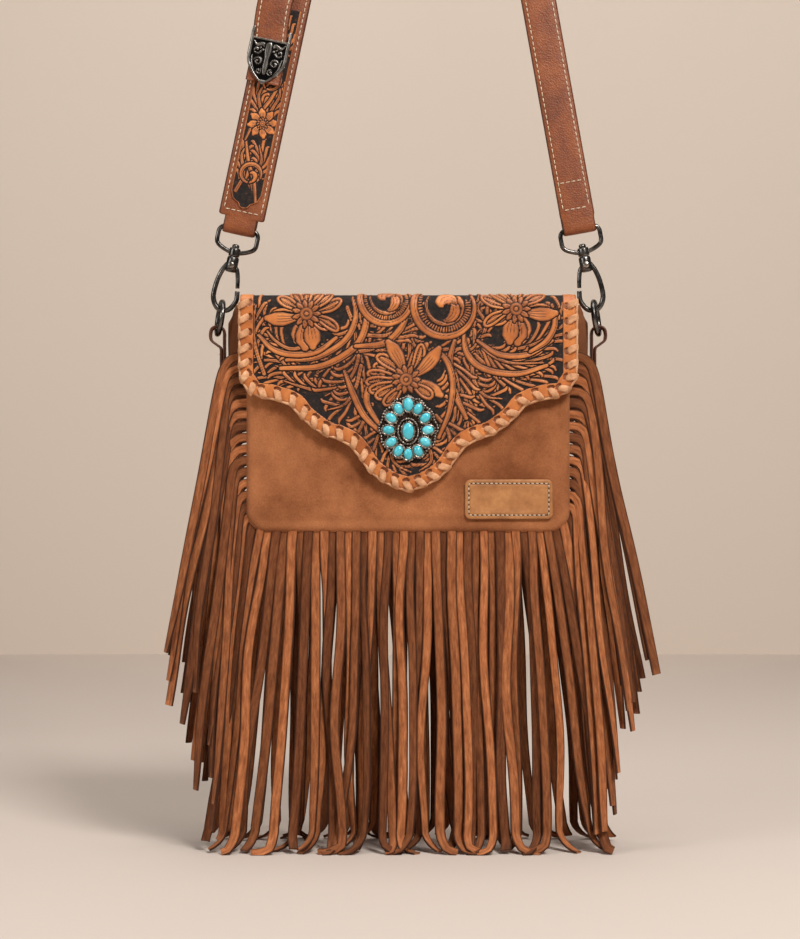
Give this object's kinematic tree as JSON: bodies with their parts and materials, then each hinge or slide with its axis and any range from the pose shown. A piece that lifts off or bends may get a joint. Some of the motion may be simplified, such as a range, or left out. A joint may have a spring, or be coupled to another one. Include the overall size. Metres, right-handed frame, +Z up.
{
  "type": "fringed suede shoulder bag",
  "caption": "Small suede bag with a tooled leather flap, whip-laced edge, hanging fringe and an adjustable strap clipped to side rings.",
  "frame": {"origin": "the underside of the strap at its highest point, where the bag hangs", "axes": "+Z up, front of the bag towards -Y, +X to the right as seen from the front"},
  "size_m": [0.3526, 0.0632, 0.9009],
  "materials": {
    "suede": "brushed suede with a soft nap",
    "fringe": "cut suede strips, darker at the edges",
    "tooled_leather": "carved and antiqued, satin",
    "lacing": "soft flat lace, matt",
    "old_silver": "cast, darkened in the recesses",
    "gunmetal": "dark plated, worn brighter on the edges",
    "turquoise": "polished, with dark veins",
    "patch": "smooth tan leather, satin",
    "strap_leather": "pebbled, satin, stitched along the edges",
    "overlay": "carved, dark ground with a painted flower"
  },
  "bodies": {
    "bag": {"front_panel": "suede", "back_panel": "suede", "gusset": "suede", "fringe_front": "fringe", "fringe_back": "fringe", "snap_stud": "gunmetal", "label_patch": "patch", "left_tab": "strap_leather", "right_tab": "strap_leather", "strap_short": "strap_leather", "strap_overlay": "overlay", "strap_long": "strap_leather", "strap_tip": "old_silver", "strap_keeper": "strap_leather", "buckle_frame": "old_silver"},
    "flap": {"flap": "tooled_leather", "flap_lacing": "lacing", "concho_plate": "old_silver", "concho_post": "gunmetal", "stone_middle": "turquoise", "stone_1": "turquoise", "stone_2": "turquoise", "stone_3": "turquoise", "stone_4": "turquoise", "stone_5": "turquoise", "stone_6": "turquoise", "stone_7": "turquoise", "stone_8": "turquoise", "stone_9": "turquoise", "stone_10": "turquoise", "stone_11": "turquoise", "stone_12": "turquoise", "snap_socket": "gunmetal"},
    "left_ring": {"left_ring": "gunmetal"},
    "left_eye": {"left_eye": "gunmetal"},
    "left_hook": {"left_hook": "gunmetal", "left_rivet": "gunmetal"},
    "left_gate": {"left_gate": "gunmetal"},
    "right_ring": {"right_ring": "gunmetal"},
    "right_eye": {"right_eye": "gunmetal"},
    "right_hook": {"right_hook": "gunmetal", "right_rivet": "gunmetal"},
    "right_gate": {"right_gate": "gunmetal"},
    "prong": {"buckle_prong": "old_silver"}
  },
  "joints": [
    {"name": "flap_hinge", "type": "hinge", "parent": "bag", "child": "flap", "pos_m": [-0.00768, 0.0219, -0.52481], "axis": [-1, 0, 0], "range_deg": [0, 150]},
    {"name": "left_ring_swing", "type": "hinge", "parent": "bag", "child": "left_ring", "pos_m": [-0.14757, 0, -0.52337], "axis": [0, 1, 0], "range_deg": [-1.3, 1.3]},
    {"name": "right_ring_swing", "type": "hinge", "parent": "bag", "child": "right_ring", "pos_m": [0.13222, 0, -0.52337], "axis": [0, 1, 0], "range_deg": [-1.3, 1.3]},
    {"name": "left_eye_swing", "type": "hinge", "parent": "bag", "child": "left_eye", "pos_m": [-0.13143, 0, -0.44565], "axis": [0.9781, 0, -0.2079], "range_deg": [-1, 1]},
    {"name": "right_eye_swing", "type": "hinge", "parent": "bag", "child": "right_eye", "pos_m": [0.11797, 0, -0.44528], "axis": [0.9842, 0, 0.1771], "range_deg": [-1, 1]},
    {"name": "left_hook_swivel", "type": "hinge", "parent": "left_eye", "child": "left_hook", "pos_m": [-0.13517, 0, -0.46325], "axis": [0.2079, 0, 0.9781], "range_deg": [-15, 15]},
    {"name": "right_hook_swivel", "type": "hinge", "parent": "right_eye", "child": "right_hook", "pos_m": [0.12116, 0, -0.46299], "axis": [-0.1771, 0, 0.9842], "range_deg": [-15, 15]},
    {"name": "left_gate_hinge", "type": "hinge", "parent": "left_hook", "child": "left_gate", "pos_m": [-0.13721, 0, -0.47284], "axis": [0, 1, 0], "range_deg": [0, 25], "stiffness_Nm_per_rad": 0.04, "springref_deg": -17.19},
    {"name": "right_gate_hinge", "type": "hinge", "parent": "right_hook", "child": "right_gate", "pos_m": [0.12289, 0, -0.47264], "axis": [0, -1, 0], "range_deg": [0, 25], "stiffness_Nm_per_rad": 0.04, "springref_deg": -17.19},
    {"name": "buckle_prong_hinge", "type": "hinge", "parent": "bag", "child": "prong", "pos_m": [-0.08465, 0, -0.22556], "axis": [0.9781, 0, -0.2079], "range_deg": [0, 10]}
  ]
}
